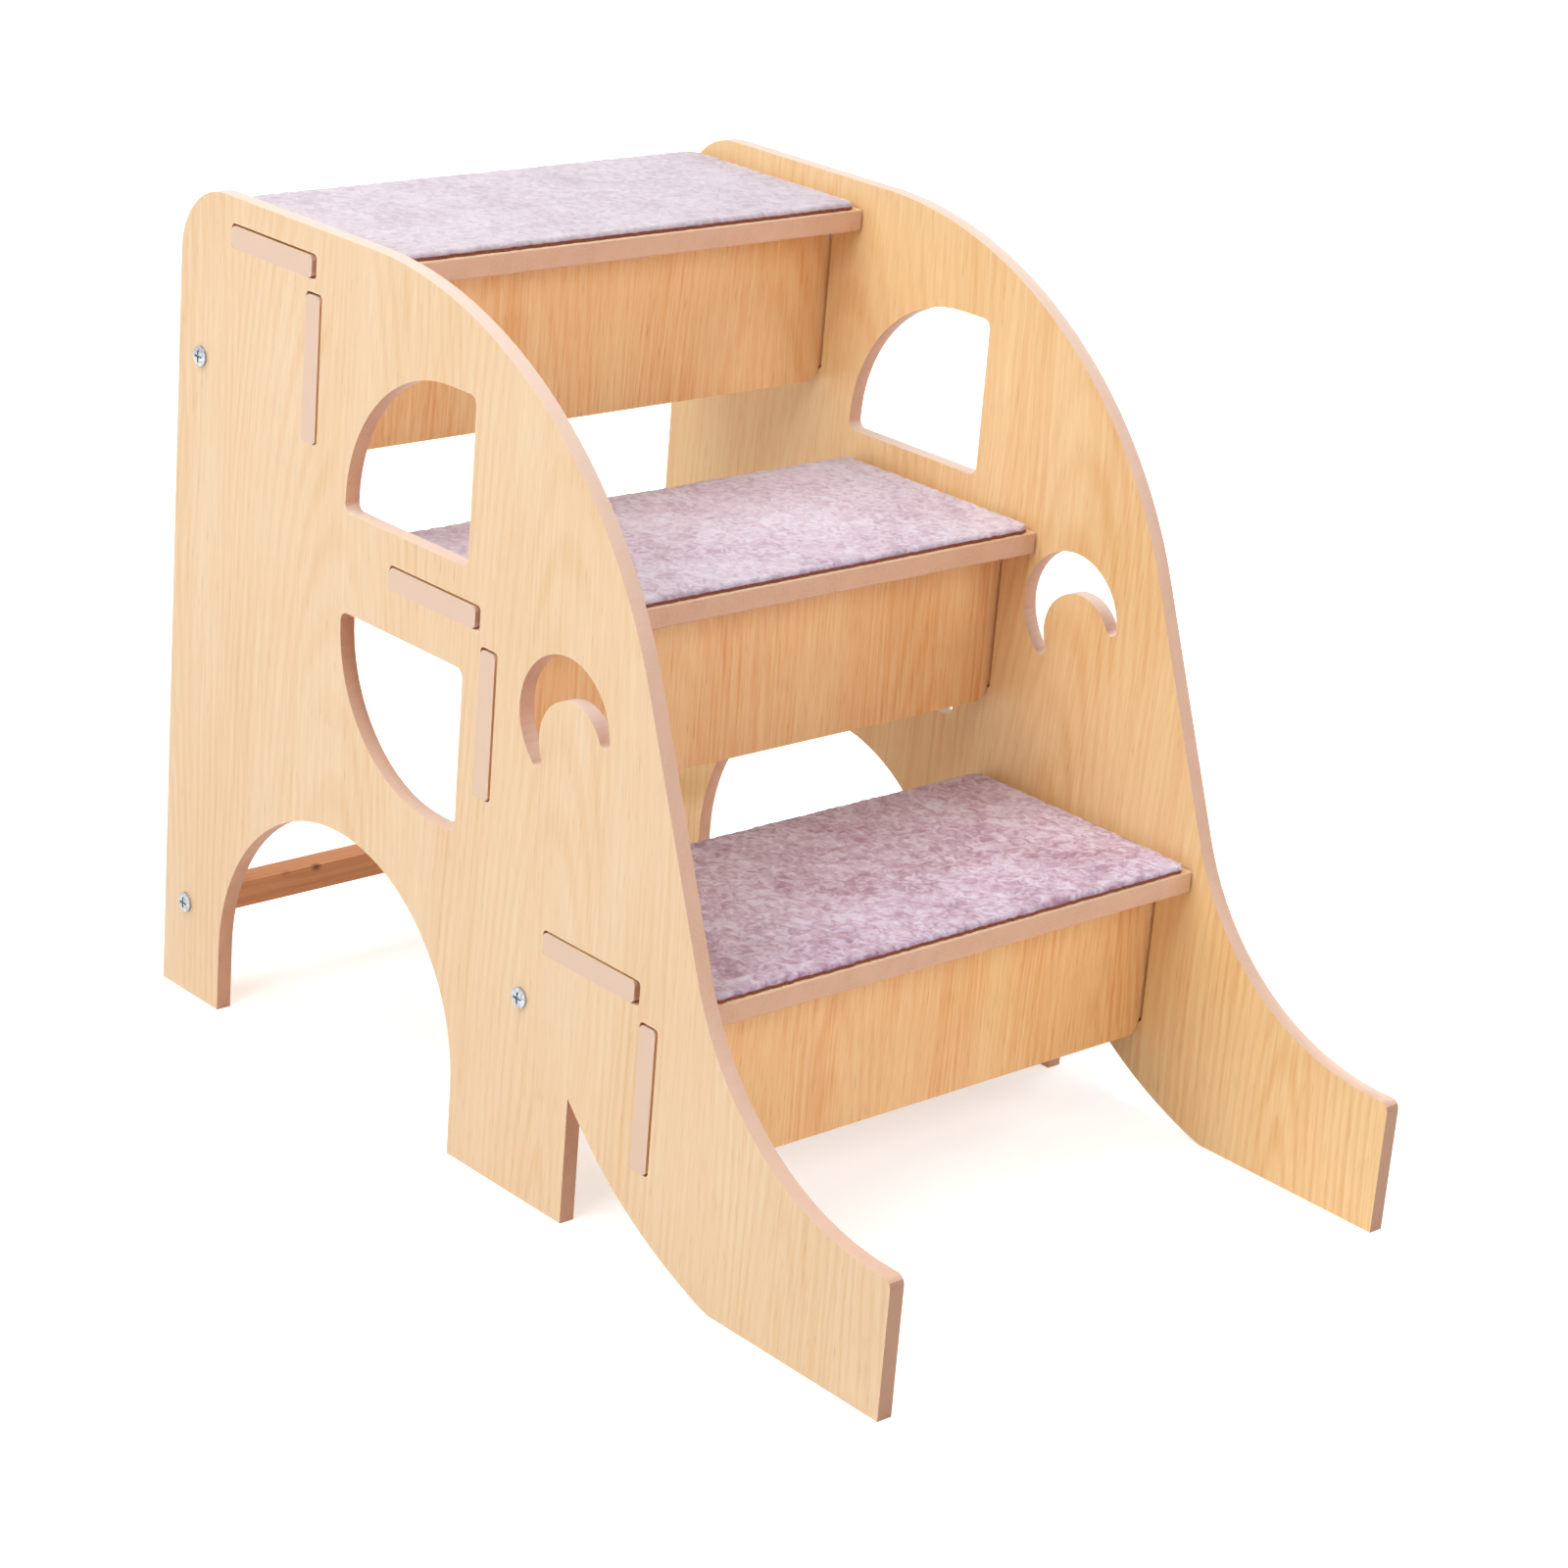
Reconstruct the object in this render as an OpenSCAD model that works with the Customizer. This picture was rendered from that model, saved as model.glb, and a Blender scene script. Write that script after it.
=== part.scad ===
// Three-step pet stairs: two cut-out side panels joined by tenoned treads and
// risers, three screwed crossbars and a carpet pad on each tread.
// +X is to the right seen from the front, the stair climbs towards +Y, +Z is up.
// The origin is on the floor, in the middle of the width and of the depth.

/* [Overall size] */
// Width across the outer faces of the side panels
width = 360; // [320:5:420]
// Depth from the rear edge to the tip of the front foot
depth = 600; // [540:5:660]
// Height of the side panels
height = 460; // [420:5:500]

/* [Boards] */
// Thickness of the side panels
panel_t = 9; // [8:0.5:12]
// Thickness of the treads and risers
board_t = 12; // [10:0.5:12]
// Side of the square crossbars
bar_side = 15; // [12:1:18]
// Thickness of the carpet pads
carpet_t = 5; // [4:0.5:8]

/* [Steps, bottom to top] */
// Height of each tread's underside, as a share of the height
tread_z_shares = [0.3022, 0.6283, 0.9413]; // [0.29:0.0001:0.945]
// Depth coordinate of each riser's front face, as a share of the depth
riser_face_shares = [-0.2075, 0.0258, 0.29]; // [-0.215:0.0001:0.295]
// Depth coordinate of each tread's rear edge, as a share of the depth
tread_rear_shares = [0.0267, 0.2383, 0.4933]; // [0.02:0.0001:0.495]
// How far each tread stands out in front of its riser
nosing = 26; // [20:1:30]
// Height of each riser
riser_h = 92.8; // [86:0.1:98]
// Radius of a riser's lower corners
riser_corner = 8; // [4:1:12]

/* [Joints] */
// Length of the slots for the treads
tread_slot = 76; // [66:1:80]
// How far behind its riser's front face each tread's slot starts
tread_slot_set = [13.5, 13.5, 4]; // [2:0.5:16]
// Distance of a riser slot's ends from the riser's lower and upper edges
riser_slot_set = [6.8, 6.5]; // [6:0.1:10]
// Radius of the slot corners
slot_corner = 2.5; // [1.5:0.5:3]

/* [Panel outline] */
// Radius of the rear top corner
rear_corner = 38; // [20:1:50]
// Radius of the convex front curve, as a share of the depth
brow_r_share = 0.4167; // [0.41:0.0001:0.42]
// Depth coordinate where the flat top turns into the front curve, as a share of the depth
brow_y_share = 0.2183; // [0.215:0.0001:0.222]
// Radius of the hollow curve above the front foot, as a share of the depth
instep_r_share = 0.2433; // [0.235:0.0001:0.245]
// Distance from the tip of the foot back to the lowest point of the hollow curve
toe_len = 11; // [9:1:13]
// Height of the front foot at its tip
toe_h = 74; // [68:1:78]
// Radius of the upper corner of the front foot
toe_corner = 5; // [2:1:8]

/* [Panel openings] */
// Width of the arch between the rear and middle feet
arch_w = 213; // [200:1:220]
// Height of the arch, as a share of the height
arch_h_share = 0.313; // [0.3:0.001:0.318]
// Depth coordinate of the middle of the arch, as a share of the depth
arch_y_share = 0.2325; // [0.228:0.0005:0.236]
// Depth coordinate of the middle foot's front edge, as a share of the depth
notch_y_share = -0.1033; // [-0.11:0.0001:-0.095]
// Height of the notch in front of the middle foot, as a share of the height
notch_h_share = 0.1522; // [0.14:0.0001:0.16]
// Depth coordinate of the back end of the front foot's sole, as a share of the depth
heel_y_share = -0.2967; // [-0.305:0.0001:-0.29]
// Radius of the bowed underside between the notch and the sole
belly_r = 246; // [200:2:290]
// Size of each window, front to back and in height
window = [104, 88]; // [84:1:106]
// Radius of a window's wide corner
window_r = 82; // [60:1:82]
// Radius of a window's three small corners
window_corner = 5; // [2:1:6]
// Depth coordinate of the windows' front edges, as a share of the depth
window_y_share = 0.0683; // [0.064:0.0001:0.072]
// Lower edge of the upper window and upper edge of the lower one, as shares of the height
window_z_shares = [0.6935, 0.5772]; // [0.57:0.0001:0.7]
// Centre of the crescent, as shares of the depth and of the height
crescent_shares = [-0.0683, 0.5707]; // [-0.075:0.0001:0.58]
// Outer and inner radius of the crescent
crescent_r = [35, 24.5]; // [23:0.5:38]
// Distance between the crescent's two centres
crescent_shift = 13; // [11:0.5:14]
// Lean of the crescent towards the rear, in degrees
crescent_lean = 27; // [0:1:40]

/* [Crossbars and screws] */
// Depth coordinates of the lower rear, upper rear and front crossbars, as shares of the depth
bar_y_shares = [0.465, 0.465, -0.0333]; // [-0.035:0.0001:0.468]
// Heights of the same crossbars, as shares of the height
bar_z_shares = [0.1163, 0.8011, 0.238]; // [0.1:0.0001:0.81]
// Diameter of the screw heads
head_d = 11; // [9:0.5:12]
// Height of the screw heads
head_h = 2.4; // [2:0.1:3]
// Diameter of the screw shanks
shank_d = 4.5; // [4:0.5:5]
// Length of a screw below its head
screw_len = 40; // [30:1:50]

/* [Hidden] */
$fn = 96;

BOTTOM = 0;
MIDDLE = 1;
TOP = 2;
LOWER_REAR = 0;
UPPER_REAR = 1;
FRONT = 2;
LEFT = -1;
RIGHT = 1;

// Every cut runs this far past the face that it goes through
overrun = 2;
// Depth by which a straight run cuts into the arc that it continues
blend = 0.02;
// Room above a tenon in its slot, and in front of it
tread_gap = [4.2, 1.3];
riser_gap = [1.9, 1.5];
// Room between a tread's shoulders and the side panels, and between a riser's and them
tread_shoulder = 1.5;
riser_shoulder = 0.2;
// Room between a riser and the tread above it
riser_top_gap = 0.2;
// Rounding along the edges of the treads
arris = 1;
// Rounding of the tenon corners, wider than that of the slots
tenon_corner = slot_corner + 0.5;
// How far a carpet pad stays inside the side panels, the tread's front and its rear
carpet_side = 4;
carpet_front = 1;
carpet_back = 4;
carpet_corner = 6;
// Room round a screw in the panel and in the crossbar
panel_hole_gap = 0.5;
bar_hole_gap = 0.1;
point_h = 6;
recess_w = 1.3;
recess_l = 6.4;
recess_h = 1.5;
dome_share = 0.4;

rear_y = depth / 2;
toe_y = -depth / 2;
inner_w = width - 2 * panel_t;
tread_z = tread_z_shares * height;
tread_top = [for (z = tread_z) z + board_t];
tread_rear = tread_rear_shares * depth;
tread_slot_y = riser_face_shares * depth + tread_slot_set;
tread_tenon = tread_slot - tread_gap[0];
riser_face = riser_face_shares * depth;
tread_face = [for (face = riser_face) face - nosing];
riser_slot = riser_h - riser_slot_set[0] - riser_slot_set[1];
riser_tenon = riser_slot - riser_gap[1];
riser_slot_w = board_t + riser_gap[0];
riser_z = [for (z = tread_z) z - riser_top_gap - riser_h];
bar_y = bar_y_shares * depth;
bar_z = bar_z_shares * height;

// The two circles of the front curve, and the line that touches both
brow_r = brow_r_share * depth;
brow_y = brow_y_share * depth;
instep_r = instep_r_share * depth;
brow_c = [brow_y, height + blend - brow_r];
instep_c = [toe_y + toe_len, toe_h - blend + instep_r];
brow_line_r = brow_r - blend;
instep_line_r = instep_r - blend;
centre_line = instep_c - brow_c;
line_turn = acos((brow_line_r + instep_line_r) / norm(centre_line));
line_side = atan2(centre_line[1], centre_line[0]) - line_turn;
line_normal = [cos(line_side), sin(line_side)];
brow_end = brow_c + brow_line_r * line_normal;
instep_start = instep_c - instep_line_r * line_normal;

// The circle of the bowed underside passes through the notch's tip and the heel
notch_y = notch_y_share * depth;
notch_h = notch_h_share * height;
heel_y = heel_y_share * depth;
belly_chord = [heel_y, 0] - [notch_y, notch_h];
belly_mid = ([heel_y, 0] + [notch_y, notch_h]) / 2;
belly_rise = sqrt(pow(belly_r, 2) - pow(norm(belly_chord) / 2, 2));
belly_c = belly_mid + belly_rise * [belly_chord[1], -belly_chord[0]] / norm(belly_chord);

// Horns of the crescent: half width between their middles, and radius of their round ends
horn_outer = sqrt(pow(crescent_r[0], 2) - pow(crescent_shift, 2));
horn_r = (horn_outer - crescent_r[1]) / 2;
horn_x = crescent_r[1] + horn_r;

// A shape drawn in the side view, given a thickness along the width
module from_side(x, thickness) {
    translate([x, 0, 0])
        rotate([90, 0, 90])
            linear_extrude(thickness)
                children();
}

// A shape drawn in the front view, given a thickness towards the rear
module from_front(y, thickness) {
    translate([0, y + thickness, 0])
        rotate([90, 0, 0])
            linear_extrude(thickness)
                children();
}

// A rectangle with a radius of its own at each corner, anticlockwise from the lowest values
module rounded_rect(size, radii) {
    signs = [[-1, -1], [1, -1], [1, 1], [-1, 1]];
    difference() {
        square(size);
        for (i = [0 : len(signs) - 1])
            if (radii[i] > 0)
                translate([(signs[i][0] + 1) / 2 * size[0], (signs[i][1] + 1) / 2 * size[1]])
                    mirror([signs[i][0] < 0 ? 0 : 1, 0])
                        mirror([0, signs[i][1] < 0 ? 0 : 1])
                            corner_waste(radii[i]);
    }
}

// What is cut off a square corner at the origin to round it
module corner_waste(r) {
    difference() {
        translate([-overrun, -overrun])
            square(r + overrun);
        translate([r, r])
            circle(r);
    }
}

// Outer shape of a side panel, without its feet and openings
module panel_blank() {
    difference() {
        union() {
            translate([brow_y, 0])
                rounded_rect([rear_y - brow_y, height], [0, 0, rear_corner, 0]);
            intersection() {
                translate(brow_c)
                    circle(brow_r, $fn = 360);
                translate([toe_y, 0])
                    square([brow_y - toe_y, height]);
            }
            polygon([[brow_y, 0], [brow_y, brow_end[1]], brow_end, instep_start, [instep_start[0], 0]]);
            translate([instep_c[0], 0])
                square([instep_start[0] - instep_c[0], instep_start[1]]);
            translate([toe_y, 0])
                rounded_rect([toe_len, toe_h], [0, 0, 0, toe_corner]);
        }
        translate(instep_c)
            circle(instep_r, $fn = 360);
    }
}

module arch() {
    middle_y = arch_y_share * depth;
    spring_z = arch_h_share * height - arch_w / 2;
    translate([middle_y, spring_z])
        circle(arch_w / 2, $fn = 180);
    translate([middle_y - arch_w / 2, -overrun])
        square([arch_w, spring_z + overrun]);
}

module notch() {
    difference() {
        translate([heel_y - overrun, -overrun])
            square([notch_y - heel_y + overrun, notch_h + 2 * overrun]);
        translate(belly_c)
            circle(belly_r, $fn = 360);
    }
}

// The upper window, with its wide corner at the top rear; the lower one is its mirror image
module windows() {
    small = window_corner;
    window_y = window_y_share * depth;
    window_z = window_z_shares * height;
    translate([window_y, window_z[0]])
        rounded_rect(window, [small, small, window_r, small]);
    translate([window_y, window_z[1] - window[1]])
        rounded_rect(window, [small, window_r, small, small]);
}

module crescent() {
    translate([crescent_shares[0] * depth, crescent_shares[1] * height])
        rotate(-crescent_lean)
            union() {
                difference() {
                    circle(crescent_r[0]);
                    translate([0, -crescent_shift])
                        circle(crescent_r[1]);
                    translate([-crescent_r[0] - overrun, -crescent_r[0] - overrun])
                        square([2 * (crescent_r[0] + overrun), crescent_r[0] + overrun - crescent_shift]);
                }
                for (side = [LEFT, RIGHT])
                    translate([side * horn_x, -crescent_shift])
                        circle(horn_r + blend);
            }
}

module slots() {
    corners = [for (i = [0 : 3]) slot_corner];
    for (i = [BOTTOM : TOP]) {
        translate([tread_slot_y[i], tread_z[i]])
            rounded_rect([tread_slot, board_t + tread_gap[1]], corners);
        translate([riser_face[i] - riser_gap[0], riser_z[i] + riser_slot_set[0]])
            rounded_rect([riser_slot_w, riser_slot], corners);
    }
}

module side_panel(side) {
    x = side == LEFT ? -width / 2 : width / 2 - panel_t;
    difference() {
        from_side(x, panel_t)
            panel_blank();
        from_side(x - overrun, panel_t + 2 * overrun)
            union() {
                arch();
                notch();
                windows();
                crescent();
                slots();
            }
        for (i = [LOWER_REAR : FRONT])
            translate([x - overrun, bar_y[i], bar_z[i]])
                rotate([0, 90, 0])
                    cylinder(d = shank_d + panel_hole_gap, h = panel_t + 2 * overrun);
    }
}

// A board with a through tenon at each end, resting on the bottom and the rear of its slots
module tread(i) {
    body_w = inner_w - 2 * tread_shoulder;
    body_l = tread_rear[i] - tread_face[i];
    tenon_y = tread_slot_y[i] + tread_gap[0];
    color("burlywood")
        union() {
            from_side(-body_w / 2, body_w)
                translate([tread_face[i], tread_z[i]])
                    rounded_rect([body_l, board_t], [arris, arris, arris, arris]);
            from_side(-width / 2, width)
                translate([tenon_y, tread_z[i]])
                    rounded_rect([tread_tenon, board_t], [for (j = [0 : 3]) tenon_corner]);
        }
}

module riser(i) {
    body_w = inner_w - 2 * riser_shoulder;
    color("peru")
        union() {
            from_front(riser_face[i], board_t)
                translate([-body_w / 2, riser_z[i]])
                    rounded_rect([body_w, riser_h], [riser_corner, riser_corner, 0, 0]);
            from_side(-width / 2, width)
                translate([riser_face[i], riser_z[i] + riser_slot_set[0]])
                    rounded_rect([board_t, riser_tenon], [for (j = [0 : 3]) tenon_corner]);
        }
}

module carpet_pad(i) {
    pad_w = inner_w - 2 * carpet_side;
    pad_l = tread_rear[i] - carpet_back - tread_face[i] - carpet_front;
    color("thistle")
        translate([-pad_w / 2, tread_face[i] + carpet_front, tread_top[i]])
            linear_extrude(carpet_t)
                rounded_rect([pad_w, pad_l], [for (j = [0 : 3]) carpet_corner]);
}

// A square bar between the side panels, bored at both ends for its screws
module crossbar(i) {
    bore_l = screw_len - panel_t;
    bore_d = shank_d + bar_hole_gap;
    color("sienna")
        translate([0, bar_y[i], bar_z[i]])
            rotate([0, 90, 0])
                difference() {
                    cube([bar_side, bar_side, inner_w], center = true);
                    for (side = [LEFT, RIGHT])
                        translate([0, 0, side * (inner_w / 2 - bore_l / 2 + overrun / 2)])
                            cylinder(d = bore_d, h = bore_l + overrun, center = true);
                }
}

// A cross-recessed screw along +X, the underside of its head at x = 0
module screw_shape() {
    dome_h = head_h * dome_share;
    rim_h = head_h - dome_h;
    dome_r = (pow(head_d / 2, 2) + pow(dome_h, 2)) / (2 * dome_h);
    rotate([0, 90, 0])
        difference() {
            union() {
                cylinder(d = shank_d, h = screw_len - point_h);
                translate([0, 0, screw_len - point_h])
                    cylinder(d1 = shank_d, d2 = 0, h = point_h);
                translate([0, 0, -rim_h])
                    cylinder(d = head_d, h = rim_h);
                intersection() {
                    translate([0, 0, dome_r - head_h])
                        sphere(dome_r);
                    translate([0, 0, -head_h])
                        cylinder(d = head_d, h = dome_h);
                }
            }
            for (turn = [0, 90])
                rotate(turn)
                    translate([-recess_l / 2, -recess_w / 2, -head_h - overrun])
                        cube([recess_l, recess_w, recess_h + overrun]);
        }
}

module screw(side, i) {
    color("silver")
        translate([side * width / 2, bar_y[i], bar_z[i]])
            mirror([side == LEFT ? 0 : 1, 0, 0])
                screw_shape();
}

module left_side_panel() { color("wheat") side_panel(LEFT); }
module right_side_panel() { color("wheat") side_panel(RIGHT); }
module bottom_tread() { tread(BOTTOM); }
module middle_tread() { tread(MIDDLE); }
module top_tread() { tread(TOP); }
module bottom_riser() { riser(BOTTOM); }
module middle_riser() { riser(MIDDLE); }
module top_riser() { riser(TOP); }
module bottom_carpet_pad() { carpet_pad(BOTTOM); }
module middle_carpet_pad() { carpet_pad(MIDDLE); }
module top_carpet_pad() { carpet_pad(TOP); }
module lower_rear_crossbar() { crossbar(LOWER_REAR); }
module upper_rear_crossbar() { crossbar(UPPER_REAR); }
module front_crossbar() { crossbar(FRONT); }
module left_lower_rear_screw() { screw(LEFT, LOWER_REAR); }
module left_upper_rear_screw() { screw(LEFT, UPPER_REAR); }
module left_front_screw() { screw(LEFT, FRONT); }
module right_lower_rear_screw() { screw(RIGHT, LOWER_REAR); }
module right_upper_rear_screw() { screw(RIGHT, UPPER_REAR); }
module right_front_screw() { screw(RIGHT, FRONT); }

left_side_panel();
right_side_panel();
bottom_tread();
middle_tread();
top_tread();
bottom_riser();
middle_riser();
top_riser();
bottom_carpet_pad();
middle_carpet_pad();
top_carpet_pad();
lower_rear_crossbar();
upper_rear_crossbar();
front_crossbar();
left_lower_rear_screw();
left_upper_rear_screw();
left_front_screw();
right_lower_rear_screw();
right_upper_rear_screw();
right_front_screw();
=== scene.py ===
"""Looks of the three-step pet stairs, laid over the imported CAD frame.

The boards, battens and screws are the CAD's own solids: their arrises are
eased and they get their real finishes here. The three carpet pads are modelled
here, curl by curl, in the room of their plain CAD slabs.
"""

import logging
import math
from dataclasses import dataclass, field
from enum import Enum
from typing import Any

import bpy
import numpy as np
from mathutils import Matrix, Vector


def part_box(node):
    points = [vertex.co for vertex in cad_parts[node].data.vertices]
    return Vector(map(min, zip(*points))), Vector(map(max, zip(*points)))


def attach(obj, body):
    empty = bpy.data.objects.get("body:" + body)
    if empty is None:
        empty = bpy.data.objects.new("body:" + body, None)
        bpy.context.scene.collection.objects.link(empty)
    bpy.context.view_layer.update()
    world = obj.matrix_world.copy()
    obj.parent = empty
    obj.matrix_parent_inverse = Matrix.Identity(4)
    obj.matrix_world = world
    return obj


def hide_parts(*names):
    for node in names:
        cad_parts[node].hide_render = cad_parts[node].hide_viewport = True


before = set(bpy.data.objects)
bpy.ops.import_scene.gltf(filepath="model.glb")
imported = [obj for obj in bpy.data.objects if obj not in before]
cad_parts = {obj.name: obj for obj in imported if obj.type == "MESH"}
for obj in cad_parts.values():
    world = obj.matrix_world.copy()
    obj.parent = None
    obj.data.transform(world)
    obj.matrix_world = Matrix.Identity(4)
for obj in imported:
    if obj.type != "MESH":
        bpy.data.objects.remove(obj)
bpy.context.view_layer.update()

MM = 0.001
LOG = logging.getLogger("pet_stairs")

Tree = bpy.types.NodeTree
Socket = bpy.types.NodeSocket
Colour = tuple[float, float, float, float]
Triple = tuple[float, float, float]

# Blender's Mix node has several inputs named A and B, so they go by number here: those
# of colours, with their result, and those of plain values.
MIX_A, MIX_B, MIXED = 6, 7, 2
VALUE_A, VALUE_B = 2, 3


def linear(code: str) -> Colour:
    """Turn an sRGB hex colour into linear light, with the constants of that standard.

    Args:
        code: colour as #RRGGBB.

    Returns:
        Linear red, green, blue and an alpha of 1.
    """
    parts = [int(code[i:i + 2], 16) / 255.0 for i in (1, 3, 5)]
    red, green, blue = (p / 12.92 if p <= 0.04045 else ((p + 0.055) / 1.055) ** 2.4 for p in parts)
    return (red, green, blue, 1.0)


def add(tree: Tree, kind: str, inputs: dict[Any, Any] | None = None,
        **settings: Any) -> bpy.types.Node:
    """Add a node with its settings, its values and its links.

    Args:
        tree: node tree that takes the node.
        kind: Blender's name of the node type.
        inputs: value or output socket for each input, by name or number.
        settings: properties of the node itself.

    Returns:
        The new node.
    """
    node = tree.nodes.new(kind)
    for name, value in settings.items():
        setattr(node, name, value)
    for key, value in (inputs or {}).items():
        if isinstance(value, Socket):
            tree.links.new(value, node.inputs[key])
        else:
            node.inputs[key].default_value = value
    return node


class Axis(Enum):
    """A direction of the shared frame, by its place in a vector."""

    X = 0
    Y = 1
    Z = 2


@dataclass(frozen=True)
class Finish:
    """What every finish shares: a node tree that starts empty, and millimetres.

    Attributes:
        name: the finish's own name, which its material takes.
    """

    name: str

    def start(self) -> tuple[bpy.types.Material, Tree, Socket]:
        """Make the material with an empty tree.

        Returns:
            The material, its tree, and the place on the object in millimetres.
        """
        material = bpy.data.materials.new(self.name)
        material.use_nodes = True
        tree = material.node_tree
        tree.nodes.clear()
        place = add(tree, "ShaderNodeTexCoord").outputs["Object"]
        place = add(tree, "ShaderNodeVectorMath", {0: place, "Scale": 1.0 / MM},
                    operation="SCALE").outputs[0]
        return material, tree, place

    def grain(self, tree: Tree, place: Socket, size: Triple, reach: tuple[float, float],
              detail: float = 2.0, swirl: float = 0.0) -> Socket:
        """Add a noise stretched to a real size, brought to the range 0 to 1.

        Args:
            tree: the material's tree.
            place: place in millimetres.
            size: width of a fleck along each direction of place, in millimetres.
            reach: noise values that become 0 and 1.
            detail: octaves of finer noise in it.
            swirl: how far the noise is pulled about by itself.

        Returns:
            The socket with the value.
        """
        scaled = add(tree, "ShaderNodeVectorMath", {0: place, 1: tuple(1.0 / s for s in size)},
                     operation="MULTIPLY").outputs[0]
        noise = add(tree, "ShaderNodeTexNoise",
                    {"Vector": scaled, "Scale": 1.0, "Detail": detail, "Roughness": 0.55,
                     "Distortion": swirl}).outputs["Fac"]
        return add(tree, "ShaderNodeMapRange",
                   {"Value": noise, "From Min": reach[0], "From Max": reach[1]}).outputs["Result"]

    def close(self, tree: Tree, shader: bpy.types.Node) -> None:
        """Join the shader to the material's output."""
        add(tree, "ShaderNodeOutputMaterial", {"Surface": shader.outputs[0]})


@dataclass(frozen=True)
class OakPrintMdf(Finish):
    """Oak-print laminate pressed on MDF, and the bare routed MDF of its edges.

    The pressed paper film gives a satin, even face with a printed oak grain of
    fine streaks and faint flames. The routed edge is a little duller, pinkish
    and mealy. Its distances are in millimetres.

    Attributes:
        face: direction that the laminated faces look along.
        along: direction of the printed grain.
        figure: middle of a printed flame across the grain.
        pale, tan, dark: colours of the print's ground, streaks and pores.
        depth: strength of the whole print.
        line: width of the printed lines.
        bold: strength of the print's flames and broad tones.
        wander: how far the grain strays to either side.
        flame_pitch: distance from one flame to the next.
        ring_gap: distance between a flame's yearly rings.
        outer: distance from the middle past which a face is an outer one, or 0 for
            boards without outer faces.
        outer_glare_pale, outer_glare_tan: colours of the outer faces' print, washed paler:
        painted glare of the strong light on them.
        core, core_dark: colours of the bare edge.
        top_highlight: colour of the edges that look upward: a painted highlight of the
            light from above.
            highlight_low, highlight_high: heights at which the painted highlight is least and
            whole, as it fades towards the floor.
        highlight_least: share of the painted highlight that is left near the floor.
        tenon_glare: colour of the tenon ends, flush with the side panels, paler and greyer
        than the edge: painted glare of the light on them.
        tenon_end: distance from the middle past which a tread or riser is a tenon's end.
        toe_shade: colour of the side panels' front ends, darker than the edge: painted
        shade, as they face away from the other boards.
        front_end: place along Y that only the front ends pass.
        film_starts, film_whole: how squarely a face looks along its direction where
            the film starts and where it is whole, with 1 for square.
        film_rough, edge_rough: roughness of the film and of the bare edge.
        relief: height of the print's and the edge's texture.
    """

    face: Axis
    along: Axis
    figure: float
    pale: str = "#F7DAA6"
    tan: str = "#E4AA69"
    dark: str = "#A36537"
    depth: float = 1.0
    line: float = 2.6
    bold: float = 1.0
    wander: float = 11.0
    flame_pitch: float = 190.0
    ring_gap: float = 6.0
    outer: float = 0.0
    outer_glare_pale: str = "#E9CEAB"
    outer_glare_tan: str = "#DBAC73"
    core: str = "#D5A183"
    core_dark: str = "#C5906E"
    top_highlight: str = "#E4CCBB"
    highlight_low: float = 60.0
    highlight_high: float = 240.0
    highlight_least: float = 0.45
    tenon_glare: str = "#DDBFA9"
    tenon_end: float = 179.0
    toe_shade: str = "#B3866A"
    front_end: float = -299.0
    film_starts: float = 0.86
    film_whole: float = 0.9
    film_rough: float = 0.42
    edge_rough: float = 0.5
    relief: float = 0.05

    def make(self) -> bpy.types.Material:
        """Build the material.

        Returns:
            The finished material.
        """
        material, tree, place = self.start()
        parts = add(tree, "ShaderNodeSeparateXYZ", {0: place}).outputs
        across = (set(Axis) - {self.face, self.along}).pop()
        # The face's own depth picks another stretch of print for every sheet.
        sheet = add(tree, "ShaderNodeCombineXYZ",
                    {0: parts[across.value], 1: parts[self.along.value],
                     2: parts[self.face.value]}).outputs[0]
        print_colour, print_height = self.oak_print(tree, sheet)
        edge_colour, edge_height = self.bare_edge(tree, place)

        normal = add(tree, "ShaderNodeNewGeometry").outputs["True Normal"]
        turned = add(tree, "ShaderNodeSeparateXYZ", {0: normal}).outputs[self.face.value]
        turned = add(tree, "ShaderNodeMath", {0: turned}, operation="ABSOLUTE").outputs[0]
        film = add(tree, "ShaderNodeMapRange",
                   {"Value": turned, "From Min": self.film_starts, "From Max": self.film_whole}
                   ).outputs["Result"]
        colour = add(tree, "ShaderNodeMix", {0: film, MIX_A: edge_colour, MIX_B: print_colour},
                     data_type="RGBA").outputs[MIXED]
        height = add(tree, "ShaderNodeMix",
                     {0: film, VALUE_A: edge_height, VALUE_B: print_height},
                     data_type="FLOAT").outputs[0]
        rough = add(tree, "ShaderNodeMapRange",
                    {"Value": film, "To Min": self.edge_rough, "To Max": self.film_rough}
                    ).outputs["Result"]
        bump = add(tree, "ShaderNodeBump",
                   {"Height": height, "Distance": self.relief * MM, "Strength": 0.8})
        # A faint haze pales the board where it is seen at a low angle.
        shader = add(tree, "ShaderNodeBsdfPrincipled",
                     {"Base Color": colour, "Roughness": rough, "IOR": 1.5, "Sheen Weight": 0.2,
                      "Sheen Roughness": 0.3, "Normal": bump.outputs[0]})
        self.close(tree, shader)
        return material

    def flames(self, tree: Tree, bent: Socket) -> Socket:
        """Draw the flames: yearly rings cut at a slant, which show only here and there.

        Args:
            tree: the material's tree.
            bent: place on the sheet in millimetres, with the grain's wander in it.

        Returns:
            The flames' strength.
        """
        run = add(tree, "ShaderNodeSeparateXYZ", {0: bent}).outputs
        side = add(tree, "ShaderNodeMath", {0: run[0], 1: self.figure},
                   operation="SUBTRACT").outputs[0]
        side = add(tree, "ShaderNodeMath", {0: side, 1: 0.5 * self.flame_pitch},
                   operation="PINGPONG").outputs[0]
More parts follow.
